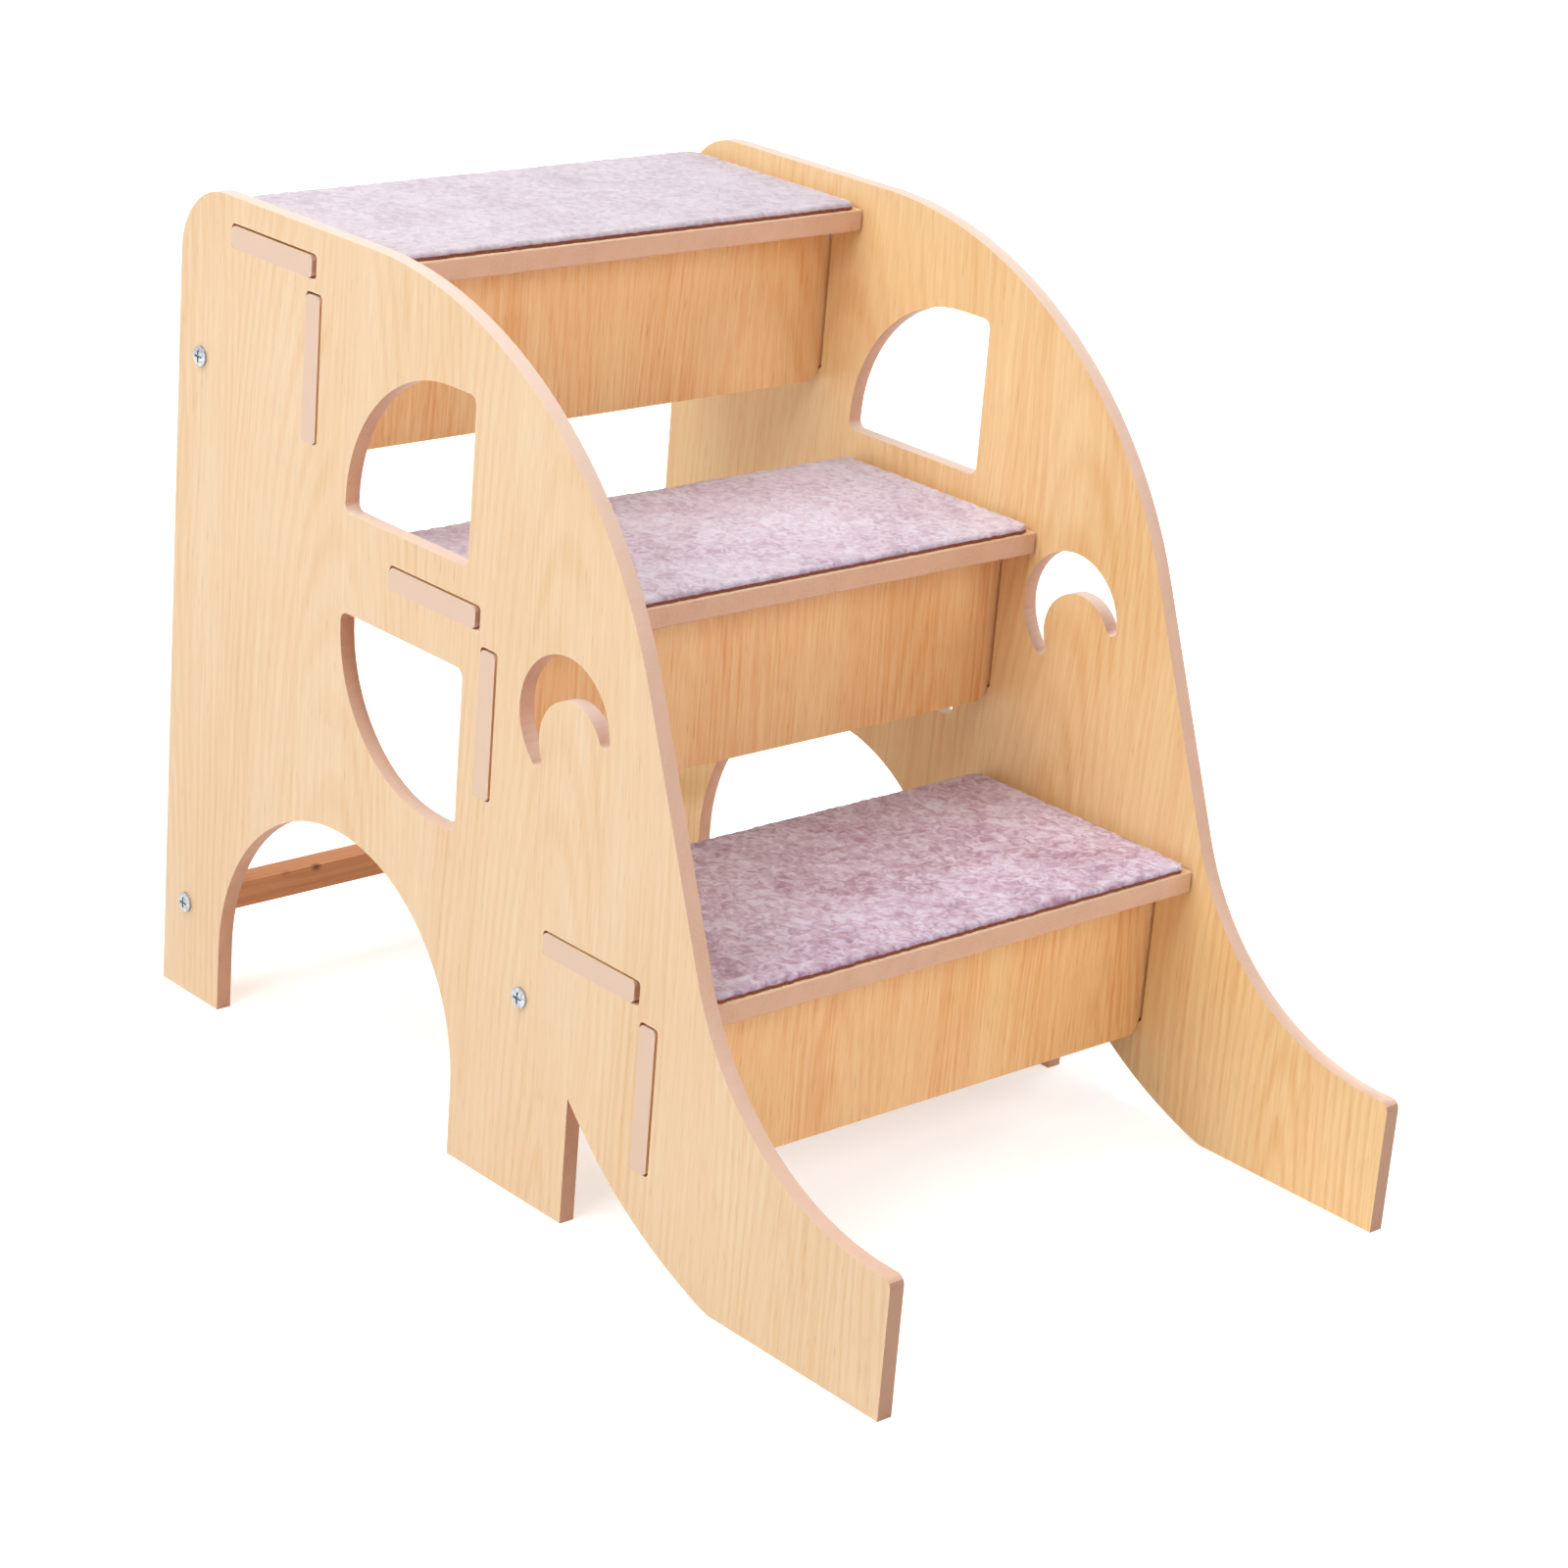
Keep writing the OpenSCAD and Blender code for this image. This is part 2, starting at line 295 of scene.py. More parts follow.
        # Over 460 mm of board the saw's cut goes from 4 mm to 64 mm off the log's heart.
        slant = add(tree, "ShaderNodeMapRange",
                    {"Value": run[1], "From Max": 460.0, "To Min": 4.0, "To Max": 64.0},
                    clamp=False).outputs["Result"]
        leg = add(tree, "ShaderNodeCombineXYZ", {0: side, 1: slant}).outputs[0]
        ring = add(tree, "ShaderNodeVectorMath", {0: leg}, operation="LENGTH").outputs["Value"]
        ring = add(tree, "ShaderNodeMath", {0: ring, 1: 2.0 * math.pi / self.ring_gap},
                   operation="MULTIPLY").outputs[0]
        ring = add(tree, "ShaderNodeMath", {0: ring}, operation="SINE").outputs[0]
        # Late wood takes up rather more than half of each ring.
        flame = add(tree, "ShaderNodeMapRange", {"Value": ring, "From Min": -0.4, "From Max": 1.0}
                    ).outputs["Result"]
        patch = self.grain(tree, bent, (52.0, 170.0, 6.0), (0.36, 0.6), 1.0)
        return add(tree, "ShaderNodeMath", {0: flame, 1: patch}, operation="MULTIPLY").outputs[0]

    def oak_print(self, tree: Tree, sheet: Socket) -> tuple[Socket, Socket]:
        """Draw the printed oak: flames, streaks, broad tones and pores.

        Args:
            tree: the material's tree.
            sheet: millimetres across the grain, along it and through the board.

        Returns:
            The colour and the height of the print.
        """
        # The grain wanders a few millimetres sideways over a hand's length.
        stray = self.grain(tree, sheet, (95.0, 420.0, 9.0), (0.2, 0.8), 1.0)
        stray = add(tree, "ShaderNodeMapRange",
                    {"Value": stray, "To Min": -self.wander, "To Max": self.wander}
                    ).outputs["Result"]
        shift = add(tree, "ShaderNodeCombineXYZ", {0: stray}).outputs[0]
        bent = add(tree, "ShaderNodeVectorMath", {0: sheet, 1: shift}, operation="ADD").outputs[0]

        # Oak's pore lines are 0.3 mm wide; fine lines of about 1 mm are the narrowest that
        # show, so streaks are drawn 0.65 and fine lines 0.46 of a printed line's width.
        line = self.grain(tree, bent, (self.line, 300.0, 5.0), (0.38, 0.66), 1.5)
        zone = self.grain(tree, sheet, (38.0, 260.0, 7.0), (0.34, 0.64), 1.0)
        line = add(tree, "ShaderNodeMath", {0: line, 1: zone}, operation="MULTIPLY").outputs[0]
        streak = self.grain(tree, bent, (0.65 * self.line, 46.0, 5.0), (0.34, 0.68))
        fine = self.grain(tree, bent, (0.46 * self.line, 13.0, 5.0), (0.36, 0.66), 1.0)
        broad = self.grain(tree, bent, (17.0, 150.0, 8.0), (0.3, 0.7))
        flame = self.flames(tree, bent)

        # How far each of them takes the colour from the ground to the streaks.
        shade: Socket | float = 0.0
        for value, share in ((line, 0.42), (streak, 0.27), (fine, 0.12),
                             (broad, 0.22 * self.bold), (flame, 0.34 * self.bold)):
            shade = add(tree, "ShaderNodeMath", {0: value, 1: share * self.depth, 2: shade},
                        operation="MULTIPLY_ADD").outputs[0]
        ground = add(tree, "ShaderNodeMix",
                     {0: shade, MIX_A: linear(self.pale), MIX_B: linear(self.tan)},
                     data_type="RGBA").outputs[MIXED]
        # The outer faces get a paler, washed-out copy of the print: painted glare.
        if self.outer:
            glared = add(tree, "ShaderNodeMix",
                        {0: shade, MIX_A: linear(self.outer_glare_pale), MIX_B: linear(self.outer_glare_tan)},
                        data_type="RGBA").outputs[MIXED]
            away = add(tree, "ShaderNodeSeparateXYZ", {0: sheet}).outputs[2]
            away = add(tree, "ShaderNodeMath", {0: away}, operation="ABSOLUTE").outputs[0]
            away = add(tree, "ShaderNodeMath", {0: away, 1: self.outer},
                       operation="GREATER_THAN").outputs[0]
            ground = add(tree, "ShaderNodeMix", {0: away, MIX_A: ground, MIX_B: glared},
                         data_type="RGBA").outputs[MIXED]

        # Open pores print as ticks 0.3 mm wide, drawn 1.2 mm by 14 mm to show, in the streaks.
        pore = self.grain(tree, bent, (1.2, 14.0, 5.0), (0.6, 0.74), 1.0)
        pore = add(tree, "ShaderNodeMath", {0: pore, 1: streak}, operation="MULTIPLY").outputs[0]
        pore = add(tree, "ShaderNodeMath", {0: pore, 1: 0.32 * self.depth},
                   operation="MULTIPLY").outputs[0]
        colour = add(tree, "ShaderNodeMix", {0: pore, MIX_A: ground, MIX_B: linear(self.dark)},
                     data_type="RGBA").outputs[MIXED]
        # The pressed film is nearly flat: its streaks stand a third as high as the edge's grit.
        height = add(tree, "ShaderNodeMath", {0: streak, 1: 0.3}, operation="MULTIPLY").outputs[0]
        return colour, height

    def bare_edge(self, tree: Tree, place: Socket) -> tuple[Socket, Socket]:
        """Draw the routed MDF edge: pressed wood flour with a slight cloud.

        Args:
            tree: the material's tree.
            place: place in millimetres.

        Returns:
            The colour and the height of the edge.
        """
        # The flour's grit is 0.2 mm; 0.9 mm is the finest that shows.
        grit = self.grain(tree, place, (0.9, 0.9, 0.9), (0.3, 0.7))
        cloud = self.grain(tree, place, (14.0, 14.0, 14.0), (0.3, 0.7))
        mealy = add(tree, "ShaderNodeMath", {0: cloud, 1: grit}, operation="MULTIPLY").outputs[0]
        colour = add(tree, "ShaderNodeMix",
                     {0: mealy, MIX_A: linear(self.core), MIX_B: linear(self.core_dark)},
                     data_type="RGBA").outputs[MIXED]
        parts = add(tree, "ShaderNodeSeparateXYZ", {0: place}).outputs

        # Upright edges keep their colour; the painted highlight starts on a slight upward tilt.
        normal = add(tree, "ShaderNodeNewGeometry").outputs["True Normal"]
        upward = add(tree, "ShaderNodeSeparateXYZ", {0: normal}).outputs[Axis.Z.value]
        upward = add(tree, "ShaderNodeMapRange", {"Value": upward, "From Min": 0.1}
                     ).outputs["Result"]
        raised = add(tree, "ShaderNodeMapRange",
                     {"Value": parts[Axis.Z.value], "From Min": self.highlight_low,
                      "From Max": self.highlight_high, "To Min": self.highlight_least}).outputs["Result"]
        highlighted = add(tree, "ShaderNodeMath", {0: upward, 1: raised},
                       operation="MULTIPLY").outputs[0]
        # The tenon ends get a paler colour: painted glare of the light on them.
        away = add(tree, "ShaderNodeMath", {0: parts[Axis.X.value]},
                   operation="ABSOLUTE").outputs[0]
        away = add(tree, "ShaderNodeMath", {0: away, 1: self.tenon_end},
                   operation="GREATER_THAN").outputs[0]
        # The side panels look along X themselves, and have no tenons.
        tenon = add(tree, "ShaderNodeMath", {0: away, 1: float(self.face is not Axis.X)},
                    operation="MULTIPLY").outputs[0]
        # The panels' front ends get a darker colour: painted shade.
        ahead = add(tree, "ShaderNodeMath", {0: parts[Axis.Y.value], 1: self.front_end},
                    operation="LESS_THAN").outputs[0]
        for share, tint in ((highlighted, self.top_highlight), (tenon, self.tenon_glare), (ahead, self.toe_shade)):
            colour = add(tree, "ShaderNodeMix", {0: share, MIX_A: colour, MIX_B: linear(tint)},
                         data_type="RGBA").outputs[MIXED]
        return colour, grit


@dataclass(frozen=True)
class PlanedPine(Finish):
    """Planed softwood batten: open satin wood with rings along it and knots.

    Attributes:
        knots: places of the knots in millimetres, and how dark each one is.
        pale, late: colours of the early and the late wood.
        knot: colour of a knot's heart.
        heart, halo: radii at which a knot is darkest and ends, in millimetres.
        relief: height of the rings, in millimetres.
    """

    knots: tuple[tuple[float, float, float, float], ...]
    pale: str = "#E4A879"
    late: str = "#CB8556"
    knot: str = "#6E3C22"
    heart: float = 0.8
    halo: float = 3.2
    relief: float = 0.06

    def make(self) -> bpy.types.Material:
        """Build the material.

        Returns:
            The finished material.
        """
        material, tree, place = self.start()
        # Rings 2.6 mm apart show as lines along the batten.
        ring = self.grain(tree, place, (150.0, 2.6, 2.6), (0.32, 0.68), swirl=0.4)
        # Softwood fibres are 0.04 mm wide; 0.8 mm is the finest that shows.
        fibre = self.grain(tree, place, (26.0, 0.8, 0.8), (0.3, 0.7))
        shade: Socket | float = 0.0
        for value, share in ((ring, 0.7), (fibre, 0.3)):
            shade = add(tree, "ShaderNodeMath", {0: value, 1: share, 2: shade},
                        operation="MULTIPLY_ADD").outputs[0]
        colour = add(tree, "ShaderNodeMix",
                     {0: shade, MIX_A: linear(self.pale), MIX_B: linear(self.late)},
                     data_type="RGBA").outputs[MIXED]
        for *spot, dark in self.knots:
            away = add(tree, "ShaderNodeVectorMath", {0: place, 1: spot},
                       operation="SUBTRACT").outputs[0]
            # A knot is a third longer along the batten than across it.
            away = add(tree, "ShaderNodeVectorMath", {0: away, 1: (0.75, 1.0, 1.0)},
                       operation="MULTIPLY").outputs[0]
            away = add(tree, "ShaderNodeVectorMath", {0: away}, operation="LENGTH").outputs["Value"]
            share = add(tree, "ShaderNodeMapRange",
                        {"Value": away, "From Min": self.halo, "From Max": self.heart,
                         "To Max": dark}).outputs["Result"]
            colour = add(tree, "ShaderNodeMix", {0: share, MIX_A: colour, MIX_B: linear(self.knot)},
                         data_type="RGBA").outputs[MIXED]
        bump = add(tree, "ShaderNodeBump",
                   {"Height": shade, "Distance": self.relief * MM, "Strength": 0.8})
        shader = add(tree, "ShaderNodeBsdfPrincipled",
                     {"Base Color": colour, "Roughness": 0.62, "IOR": 1.5,
                      "Normal": bump.outputs[0]})
        self.close(tree, shader)
        return material


@dataclass(frozen=True)
class ZincPlatedSteel(Finish):
    """Pressed steel screw, bright zinc plated: a whitish silver, softly mottled.

    Attributes:
        bright, dull: colours of the plating.
        bright_rough, dull_rough: roughness of the plating where it is bright and dull.
    """

    bright: str = "#C6CBD0"
    dull: str = "#989DA4"
    bright_rough: float = 0.32
    dull_rough: float = 0.46

    def make(self) -> bpy.types.Material:
        """Build the material.

        Returns:
            The finished material.
        """
        material, tree, place = self.start()
        # The zinc's own crystals are finer; a mottle of 1.2 mm is the finest that shows.
        mottle = self.grain(tree, place, (1.2, 1.2, 1.2), (0.35, 0.65))
        colour = add(tree, "ShaderNodeMix",
                     {0: mottle, MIX_A: linear(self.bright), MIX_B: linear(self.dull)},
                     data_type="RGBA").outputs[MIXED]
        rough = add(tree, "ShaderNodeMapRange",
                    {"Value": mottle, "To Min": self.bright_rough, "To Max": self.dull_rough}
                    ).outputs["Result"]
        shader = add(tree, "ShaderNodeBsdfPrincipled",
                     {"Base Color": colour, "Metallic": 1.0, "Roughness": rough})
        self.close(tree, shader)
        return material


@dataclass(frozen=True)
class CurledPile(Finish):
    """Short curled-pile carpet, needled from lilac-grey yarn: soft and matt.

    Attributes:
        deep_and_gap_shade, lilac, pale: colours of the deep flecks and the gaps' painted
        shade, of the yarn, and of the curls' tips with their painted light.
        fleck: size of a fleck of curls, in millimetres.
        cloud: size of the pad's slow change of tone, in millimetres.
        relief: height of the curls' fuzz, in millimetres.
    """

    deep_and_gap_shade: str
    lilac: str
    pale: str
    fleck: float = 6.4
    cloud: float = 42.0
    relief: float = 0.5

    def make(self) -> bpy.types.Material:
        """Build the material.

        Returns:
            The finished material.
        """
        material, tree, place = self.start()
        # Each fleck breaks up into curls of 2 to 4 mm, and the swirl bends them every way.
        curl = self.grain(tree, place, (self.fleck,) * 3, (0.35, 0.65), 3.0, swirl=1.1)
        cloud = self.grain(tree, place, (self.cloud,) * 3, (0.34, 0.66), 1.5)
        # The tufts' height darkens the gaps and the rolled edge and lightens the tips: painted
        # shade and light.
        tuft = add(tree, "ShaderNodeAttribute", attribute_name="tuft").outputs["Fac"]
        light: Socket | float = 0.0
        for value, share in ((curl, 0.54), (tuft, 0.42), (cloud, 0.24)):
            light = add(tree, "ShaderNodeMath", {0: value, 1: share, 2: light},
                        operation="MULTIPLY_ADD").outputs[0]
        # From the deep flecks and the gaps' painted shade to the yarn, and from the yarn to the
        # tips' painted light.
        colour: Socket | Colour = linear(self.deep_and_gap_shade)
        for low, high, tint in ((0.12, 0.55, self.lilac), (0.55, 0.95, self.pale)):
            share = add(tree, "ShaderNodeMapRange",
                        {"Value": light, "From Min": low, "From Max": high}).outputs["Result"]
            colour = add(tree, "ShaderNodeMix", {0: share, MIX_A: colour, MIX_B: linear(tint)},
                         data_type="RGBA").outputs[MIXED]
        bump = add(tree, "ShaderNodeBump",
                   {"Height": curl, "Distance": self.relief * MM, "Strength": 0.6})
        shader = add(tree, "ShaderNodeBsdfPrincipled",
                     {"Base Color": colour, "Roughness": 0.95, "Sheen Weight": 0.25,
                      "Sheen Roughness": 0.5, "Normal": bump.outputs[0]})
        self.close(tree, shader)
        return material


@dataclass(frozen=True)
class BondedBacking(Finish):
    """Rubbery bonded carpet backing: a dark red-brown line under the pile.

    Attributes:
        brown, dark: its colours.
    """

    brown: str = "#94503F"
    dark: str = "#703B2F"

    def make(self) -> bpy.types.Material:
        """Build the material.

        Returns:
            The finished material.
        """
        material, tree, place = self.start()
        # Crumbs of rubber are about 1.5 mm.
        mealy = self.grain(tree, place, (1.5, 1.5, 1.5), (0.3, 0.7))
        colour = add(tree, "ShaderNodeMix",
                     {0: mealy, MIX_A: linear(self.brown), MIX_B: linear(self.dark)},
                     data_type="RGBA").outputs[MIXED]
        shader = add(tree, "ShaderNodeBsdfPrincipled", {"Base Color": colour, "Roughness": 0.9})
        self.close(tree, shader)
        return material


@dataclass
class Joinery:
    """Boards, battens or screws that keep their CAD solids, with eased arrises.

    Attributes:
        nodes: names of the CAD nodes.
        finish: what they are made of.
        ease: width of the eased arris in metres, or 0 to leave the solids as they are.
        weld: distance in metres within which the CAD's points are one.
        sharp: turn in degrees from which an edge is an arris.
    """

    nodes: tuple[str, ...]
    finish: OakPrintMdf | PlanedPine | ZincPlatedSteel
    ease: float = 0.35 * MM
    weld: float = 0.005 * MM
    sharp: float = 40.0

    def ease_arrises(self, piece: bpy.types.Object) -> None:
        """Weld the CAD faces and round the arrises a little.

        Args:
            piece: the CAD node's object.
        """
        piece.modifiers.new("weld", "WELD").merge_threshold = self.weld
        bevel = piece.modifiers.new("ease", "BEVEL")
        bevel.width = self.ease
        bevel.segments = 2
        bevel.limit_method = "ANGLE"
        bevel.angle_limit = math.radians(self.sharp)

    def dress(self) -> None:
        """Give every piece its arrises and its finish."""
        material = self.finish.make()
        for name in self.nodes:
            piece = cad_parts[name]
            if self.ease:
                self.ease_arrises(piece)
            for slot in piece.material_slots:
                slot.material = material
            LOG.info("%s: %s", name, self.finish.name)


@dataclass
class CarpetPad:
    """One curled-pile pad, laid on its tread in the room of its CAD slab.

    All its sizes are in metres.

    Attributes:
        node: the CAD pad that it stands for.
        tread: the tread that it lies on; not used.
        seed: seed of its curls.
        pitch: distance between mesh points.
        rim: distances of the closer mesh points from the edge.
        margin: distance from the edge at which the even mesh points start.
        corner: radius of its corners.
        backing: thickness of the backing.
        inset: how far the backing stays inside the pile.
        roll: radius of the pile's rounded edge.
        lift: height of the tufts.
        pull, pull_cell: how far the tufts are pulled about, and over what distance.
        curl_cell, ridge_cell, swell_cell: size of the curls, of the ridges that wind
            between them, and of the pad's slow swell.
        scallop, scallop_cell: how far the edge's tufts stand in and out, and their size.
        lean, lean_cell: how far the tufts lean, as a share of their height, and over
            what distance that changes.
        low, high: corners of the CAD slab.
    """

    node: str
    tread: str
    seed: int
    pitch: float = 1.25 * MM
    rim: tuple[float, ...] = (0.0, 0.12 * MM, 0.45 * MM, 1.0 * MM, 1.75 * MM)
    margin: float = 2.8 * MM
    corner: float = 6.0 * MM
    backing: float = 1.9 * MM
    inset: float = 0.12 * MM
    roll: float = 2.6 * MM
    lift: float = 1.3 * MM
    pull: float = 6.0 * MM
    pull_cell: float = 4.4 * MM
    curl_cell: float = 3.0 * MM
    ridge_cell: float = 4.6 * MM
    swell_cell: float = 34.0 * MM
    scallop: float = 1.0 * MM
    scallop_cell: float = 3.4 * MM
    lean: float = 0.45
    lean_cell: float = 1.9 * MM
    low: Vector = field(init=False)
    high: Vector = field(init=False)

    def __post_init__(self) -> None:
        """Read the pad's place from its CAD node."""
        low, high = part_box(self.node)
        self.low, self.high = Vector(low), Vector(high)

    def stops(self, length: float) -> np.ndarray:
        """Give the grid's stops along one side, close together near its ends.

        Args:
            length: length of the side.

        Returns:
            The stops from the side's start.
        """
        rim = np.array(self.rim)
        count = max(2, round((length - 2 * self.margin) / self.pitch))
        middle = np.linspace(self.margin, length - self.margin, count + 1)
        return np.concatenate([rim, middle, length - rim[::-1]])

    def noise(self, x: np.ndarray, y: np.ndarray, cell: float,
              rng: np.random.Generator) -> np.ndarray:
        """Give a smooth random value at each point.

        Args:
            x, y: places of the points.
            cell: distance between the random values.
            rng: the pad's own source of random numbers.

        Returns:
            Values from 0 to 1.
        """
        columns = int(np.ptp(x) / cell) + 3
        rows = int(np.ptp(y) / cell) + 3
        table = rng.random((columns, rows))
        gx, gy = (x - x.min()) / cell, (y - y.min()) / cell
        ix = np.minimum(gx.astype(int), columns - 2)
        iy = np.minimum(gy.astype(int), rows - 2)
        fx, fy = gx - ix, gy - iy
        # A smooth step from each random value to the next.
        fx, fy = fx * fx * (3 - 2 * fx), fy * fy * (3 - 2 * fy)
        return ((table[ix, iy] * (1 - fx) + table[ix + 1, iy] * fx) * (1 - fy)
                + (table[ix, iy + 1] * (1 - fx) + table[ix + 1, iy + 1] * fx) * fy)

    def rounded(self, x: np.ndarray, y: np.ndarray,
                size: tuple[float, float]) -> tuple[np.ndarray, np.ndarray]:
        """Bend the square grid's corners into round ones.

        Args:
            x, y: places on the square grid.
            size: length of its sides.

        Returns:
            The places on the rounded pad.
        """
        out_x, out_y = x.copy(), y.copy()
        for cx, sx in ((self.corner, -1), (size[0] - self.corner, 1)):
            for cy, sy in ((self.corner, -1), (size[1] - self.corner, 1)):
                a, b = (x - cx) * sx / self.corner, (y - cy) * sy / self.corner
                near = (a > 0) & (b > 0)
                reach = np.maximum(a, b)
                # The lean runs evenly round the corner, so the rings stay evenly spaced.
                lean = np.arctan2(np.minimum(a, b), reach)
                turn = np.where(a >= b, lean, math.pi / 2 - lean)
                out_x = np.where(near, cx + sx * self.corner * reach * np.cos(turn), out_x)
                out_y = np.where(near, cy + sy * self.corner * reach * np.sin(turn), out_y)
        return out_x, out_y

    def tufts(self, x: np.ndarray, y: np.ndarray, rng: np.random.Generator) -> np.ndarray:
        """Raise the tufts: curls and ridges, pulled about so that they wind, on a slow swell.

        Args:
            x, y: places of the points.
            rng: the pad's own source of random numbers.

        Returns:
            Values from 0 in a gap to 1 on a tip.
        """
        pull_x = (self.noise(x, y, self.pull_cell, rng) - 0.5) * self.pull
        pull_y = (self.noise(x, y, self.pull_cell, rng) - 0.5) * self.pull
        curl = self.noise(x + pull_x, y + pull_y, self.curl_cell, rng)
        ridge = self.noise(x + pull_y, y + pull_x, self.ridge_cell, rng)
        ridge = 1.0 - np.abs(2.0 * ridge - 1.0)
        swell = self.noise(x, y, self.swell_cell, rng)
        return np.clip(0.55 * curl + 0.28 * ridge + 0.17 * swell, 0.0, 1.0)

    def pile(self) -> tuple[np.ndarray, np.ndarray]:
        """Model the pile: a field of curled tufts with a rolled, scalloped edge.

        Returns:
            The points by row and column, and how high each stands in its tuft.
        """
        rng = np.random.default_rng(self.seed)
        size = (self.high.x - self.low.x, self.high.y - self.low.y)
        height = self.high.z - self.low.z
        gx, gy = np.meshgrid(self.stops(size[0]), self.stops(size[1]), indexing="ij")
        x, y = self.rounded(gx, gy, size)
        tuft = self.tufts(x, y, rng)

        # The edge rises from the backing in a quarter round.
        rim = np.minimum(np.minimum(gx, size[0] - gx), np.minimum(gy, size[1] - gy))
        edge = np.clip(rim / self.roll, 0.0, 1.0)
        bulge = np.sqrt(np.clip(1.0 - (1.0 - edge) ** 2, 0.0, 1.0))
        crown = height - self.lift * (1.0 - tuft)
        z = self.backing + (crown - self.backing) * bulge
        # Tufts along the edge stand in and out, but never past the slab's outline.
        for along, out, span in ((gx, x, size[0]), (gy, y, size[1])):
            near = np.clip(1.0 - np.minimum(along, span - along) / self.roll, 0.0, 1.0)
            inward = np.sign(span / 2 - along) * near
            out += inward * self.scallop * self.noise(gx, gy, self.scallop_cell, rng)
        # Behind the edge the tufts lean every way.
        sway = self.lift * self.lean * edge
        x = x + sway * (self.noise(x, y, self.lean_cell, rng) - 0.5) * 2
        y = y + sway * (self.noise(x, y, self.lean_cell, rng) - 0.5) * 2
        points = np.stack([x + self.low.x, y + self.low.y, z + self.low.z], axis=-1)
        return points, tuft * bulge

    def build(self) -> bpy.types.Object:
        """Build the pad's mesh: the pile, and the backing that closes it below.

        Returns:
            The pad's object.
        """
        pile, tuft = self.pile()
        rows, columns = tuft.shape
        top = pile.reshape(-1, 3)
        index = np.arange(rows * columns).reshape(rows, columns)
        corners = [index[:-1, :-1], index[1:, :-1], index[1:, 1:], index[:-1, 1:]]
        faces = np.stack(corners, axis=-1).reshape(-1, 4).tolist()
        pile_faces = len(faces)
        loop = np.concatenate([index[:-1, 0], index[-1, :-1], index[:0:-1, -1], index[0, :0:-1]])

        # The backing: a step in under the pile, then down to the tread.
        low, high = np.array(self.low)[:2], np.array(self.high)[:2]
        middle, half = (low + high) / 2, (high - low) / 2
        hem = top[loop].copy()
        hem[:, :2] = middle + (hem[:, :2] - middle) * (1.0 - self.inset / half)
        foot = hem.copy()
        foot[:, 2] = self.low.z
        ring = len(loop)
        hem_loop = len(top) + np.arange(ring)
        foot_loop = hem_loop + ring
        follow = np.roll(np.arange(ring), -1)
        for upper, lower in ((loop, hem_loop), (hem_loop, foot_loop)):
            faces += np.stack([upper, lower, lower[follow], upper[follow]], axis=-1).tolist()
        faces.append(foot_loop[::-1].tolist())

        mesh = bpy.data.meshes.new(self.node.replace("_pad", "_pile"))
        mesh.from_pydata(np.concatenate([top, hem, foot]).tolist(), [], faces)
        mesh.update()
        number = np.arange(len(faces))
        mesh.polygons.foreach_set("use_smooth", number < pile_faces)
        backed = number >= pile_faces + ring
        mesh.polygons.foreach_set("material_index", backed.astype(np.int32))
        shade = mesh.attributes.new("tuft", "FLOAT", "POINT")
        values = np.concatenate([tuft.ravel(), np.zeros(2 * ring)])
        shade.data.foreach_set("value", values.astype(np.float32))
        piece = bpy.data.objects.new(mesh.name, mesh)
        bpy.context.scene.collection.objects.link(piece)
        return piece

    def lay(self, pile: bpy.types.Material, backing: bpy.types.Material) -> None:
        """Build the pad, dress it and lay it on its tread.

        Args:
            pile: finish of the pile.
            backing: finish of the backing.
        """
        piece = self.build()
        piece.data.materials.append(pile)
        piece.data.materials.append(backing)
        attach(piece, "root")
        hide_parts(self.node)
        LOG.info("%s: %d points", piece.name, len(piece.data.vertices))


@dataclass(frozen=True)
class SoftLamp:
    """A square soft lamp that looks at the stairs.

    Attributes:
        name: its name.
        spot: its place in metres.
        side: length of its side in metres.
        power: its power in watts.
        target: place that it looks at, in metres.
    """

    name: str
    spot: Triple
    side: float
    power: float
    target: Triple = (0.0, 0.0, 0.2)

    def hang(self) -> None:
        """Hang the lamp and turn it to its target."""
        data = bpy.data.lights.new(self.name, "AREA")
        data.shape, data.size, data.energy = "SQUARE", self.side, self.power
        lamp = bpy.data.objects.new(self.name, data)
        lamp.location = self.spot
        aim = Vector(self.target) - Vector(self.spot)
        lamp.rotation_euler = aim.to_track_quat("-Z", "Y").to_euler()
        bpy.context.scene.collection.objects.link(lamp)


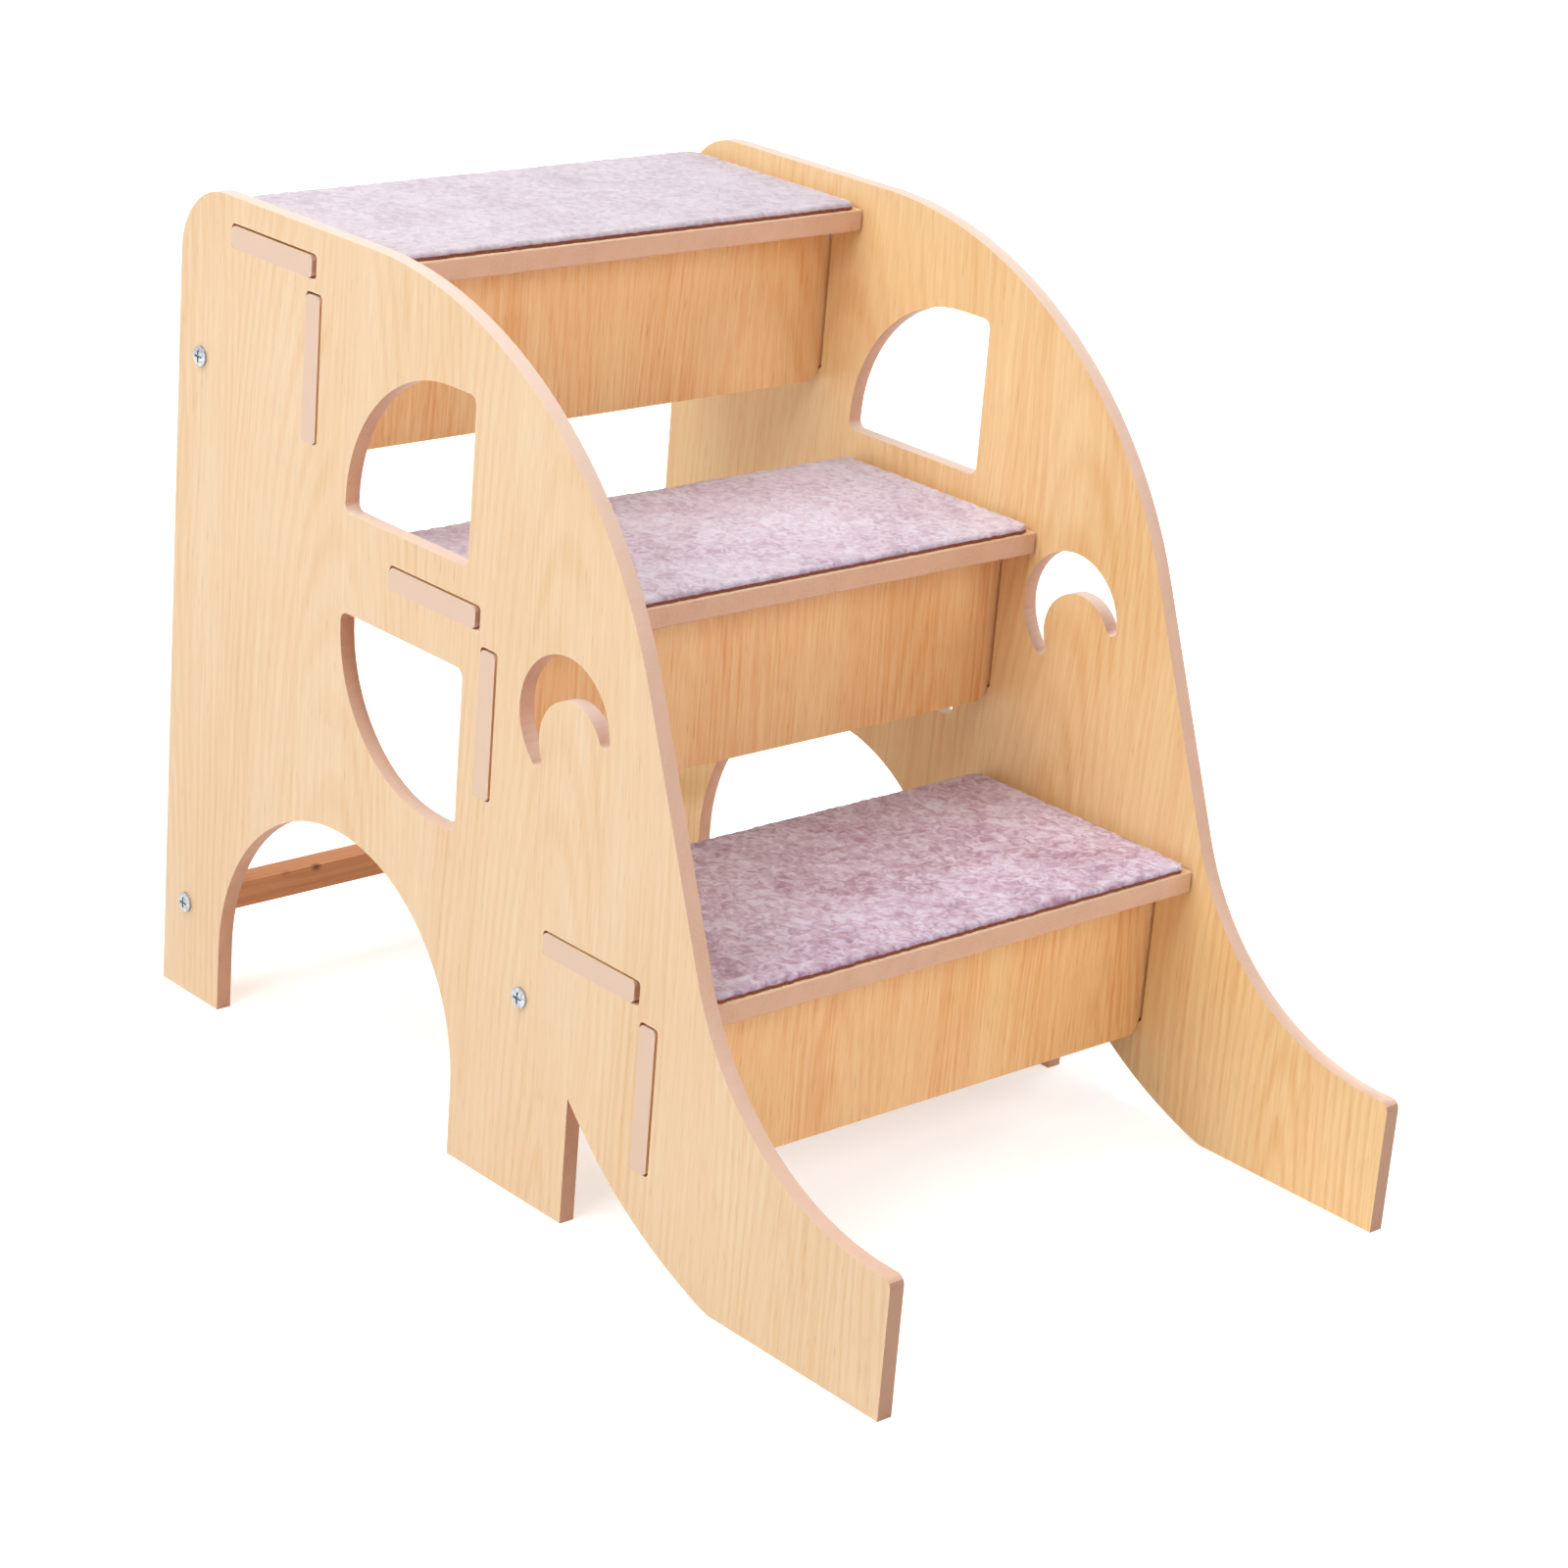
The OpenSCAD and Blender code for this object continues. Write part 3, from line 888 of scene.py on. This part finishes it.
@dataclass
class Studio:
    """White sweep, soft lamps all round and the photograph's camera.

    Attributes:
        spot: place of the camera in metres.
        turn: its turn in degrees.
        sensor: width of its sensor in millimetres.
        lens: its focal length in millimetres.
        clip: nearest and furthest distance that it sees, in metres.
        lamps: the soft lamps.
        sky: strength of the white surroundings.
        reach: distance from the middle to the floor's edge, in metres.
        paper: share of the light that the floor's white paper throws back.
        shadow: distances from the middle in metres at which the floor's own light
            starts to rise and is whole.
        shadow_light: strength of the floor's own light under the stairs.
    """

    spot: Triple = (-1.354238, -1.453346, 0.932607)
    turn: Triple = (69.28101, -4.47857, -41.45453)
    sensor: float = 36.0
    lens: float = 92.055
    clip: tuple[float, float] = (0.05, 60.0)
    lamps: tuple[SoftLamp, ...] = (
        SoftLamp("overhead_fill", (-0.9, 0.6, 2.6), 1.8, 47.8),
        SoftLamp("rear_fill", (-1.6, 1.6, 1.8), 1.5, 10.2),
        SoftLamp("left_key", (-1.85, -0.37, 1.6), 0.9, 15.3),
        SoftLamp("front_fill", (0.6, -2.3, 1.9), 1.2, 18.2),
        SoftLamp("right_fill", (1.9, -2.1, 1.3), 1.2, 15.4),
        SoftLamp("far_fill", (2.4, 0.6, 0.9), 1.4, 25.0),
    )
    sky: float = 0.2
    reach: float = 15.0
    paper: float = 0.86
    shadow: tuple[float, float] = (0.45, 1.6)
    shadow_light: float = 0.55

    def camera(self) -> None:
        """Set the camera at the photograph's place."""
        data = bpy.data.cameras.new("photo_camera")
        data.sensor_fit = "HORIZONTAL"
        data.sensor_width = self.sensor
        data.lens = self.lens
        data.clip_start, data.clip_end = self.clip
        camera = bpy.data.objects.new("photo_camera", data)
        camera.location = self.spot
        camera.rotation_euler = [math.radians(a) for a in self.turn]
        bpy.context.scene.collection.objects.link(camera)
        bpy.context.scene.camera = camera

    def seen(self, tree: Tree) -> Socket:
        """Give 1 where the camera, a reflection or glass looks, and 0 for light.

        Args:
            tree: the tree that asks.

        Returns:
            The socket with the value.
        """
        path = add(tree, "ShaderNodeLightPath").outputs
        either = add(tree, "ShaderNodeMath",
                     {0: path["Is Camera Ray"], 1: path["Is Glossy Ray"]},
                     operation="MAXIMUM").outputs[0]
        return add(tree, "ShaderNodeMath", {0: either, 1: path["Is Transmission Ray"]},
                   operation="MAXIMUM").outputs[0]

    def world(self) -> None:
        """Light the scene evenly, and show white behind it."""
        world = bpy.data.worlds.new("white_studio")
        world.use_nodes = True
        tree = world.node_tree
        tree.nodes.clear()
        strength = add(tree, "ShaderNodeMapRange",
                       {"Value": self.seen(tree), "To Min": self.sky, "To Max": 1.0}
                       ).outputs["Result"]
        glow = add(tree, "ShaderNodeBackground",
                   {"Color": (1.0, 1.0, 1.0, 1.0), "Strength": strength})
        add(tree, "ShaderNodeOutputWorld", {"Surface": glow.outputs[0]})
        bpy.context.scene.world = world

    def sweep(self) -> bpy.types.Material:
        """Make the floor's white paper, which keeps the stairs' shadow.

        Returns:
            The finished material.
        """
        material = bpy.data.materials.new("white_paper_sweep")
        material.use_nodes = True
        tree = material.node_tree
        tree.nodes.clear()
        paper = add(tree, "ShaderNodeBsdfDiffuse", {"Color": (self.paper,) * 3 + (1.0,)})
        # Past the stairs' shadow the backdrop is lit up to an even white.
        place = add(tree, "ShaderNodeTexCoord").outputs["Object"]
        away = add(tree, "ShaderNodeVectorMath", {0: place}, operation="LENGTH").outputs["Value"]
        even = add(tree, "ShaderNodeMapRange",
                   {"Value": away, "From Min": self.shadow[0], "From Max": self.shadow[1],
                    "To Min": self.shadow_light, "To Max": 1.0},
                   interpolation_type="SMOOTHSTEP").outputs["Result"]
        even = add(tree, "ShaderNodeMath", {0: even, 1: self.seen(tree)},
                   operation="MULTIPLY").outputs[0]
        glow = add(tree, "ShaderNodeEmission", {"Strength": even})
        both = add(tree, "ShaderNodeAddShader", {0: paper.outputs[0], 1: glow.outputs[0]})
        add(tree, "ShaderNodeOutputMaterial", {"Surface": both.outputs[0]})
        return material

    def floor(self) -> None:
        """Lay the wide white floor."""
        mesh = bpy.data.meshes.new("studio_floor")
        corners = [(x * self.reach, y * self.reach, 0.0)
                   for x, y in ((-1, -1), (1, -1), (1, 1), (-1, 1))]
        mesh.from_pydata(corners, [], [(0, 1, 2, 3)])
        floor = bpy.data.objects.new("studio_floor", mesh)
        bpy.context.scene.collection.objects.link(floor)
        mesh.materials.append(self.sweep())

    def build(self) -> None:
        """Set the whole studio."""
        self.camera()
        self.world()
        self.floor()
        for lamp in self.lamps:
            lamp.hang()
        bpy.context.scene.view_settings.view_transform = "Standard"


def main() -> None:
    """Build and dress every sub-assembly."""
    logging.basicConfig(level=logging.INFO, format="%(message)s")
    Studio().build()
    Joinery(("left_side_panel", "right_side_panel"),
            OakPrintMdf("oak_print_mdf_side", Axis.X, Axis.Z, figure=-40.0, depth=0.7,
                        outer=175.5)).dress()
    # The risers' print is written brighter and more orange than the panels': painted light, for the
    # light bounced about the boards.
    Joinery(("bottom_riser", "middle_riser", "top_riser"),
            OakPrintMdf("oak_print_mdf_riser", Axis.Y, Axis.Z, figure=-60.0, pale="#FED79E",
                        tan="#EA9B55", line=1.9, bold=0.65)).dress()
    # The treads' bare fronts are written paler than the panels' edges: painted light, for the extra
    # light on them.
    Joinery(("bottom_tread", "middle_tread", "top_tread"),
            OakPrintMdf("oak_print_mdf_tread", Axis.Z, Axis.Y, figure=30.0, core="#E1B294",
                        core_dark="#D1A080")).dress()
    Joinery(("lower_rear_crossbar", "upper_rear_crossbar", "front_crossbar"),
            PlanedPine("planed_pine_batten",
                       ((-97.0, 271.5, 60.0, 0.9), (-118.0, 271.5, 61.0, 0.35))),
            ease=0.6 * MM).dress()
    Joinery(tuple(f"{side}_{place}_screw" for side in ("left", "right")
                  for place in ("lower_rear", "upper_rear", "front")),
            ZincPlatedSteel("zinc_plated_steel_screw"), ease=0.0).dress()
    backing = BondedBacking("bonded_carpet_backing").make()
    # The same yarn on every step; lower steps get darker, deeper tones: painted shade.
    for step, seed, *tones in (("bottom", 11, "#9B748A", "#C2A8BC", "#DBD1E3"),
                               ("middle", 23, "#AA91A2", "#C9B8C9", "#D8D2E0"),
                               ("top", 37, "#B3A2AC", "#C6B8C2", "#D4C9D1")):
        pile = CurledPile(f"curled_pile_carpet_{step}", *tones).make()
        CarpetPad(f"{step}_carpet_pad", f"{step}_tread", seed).lay(pile, backing)


if __name__ == "__main__":
    main()
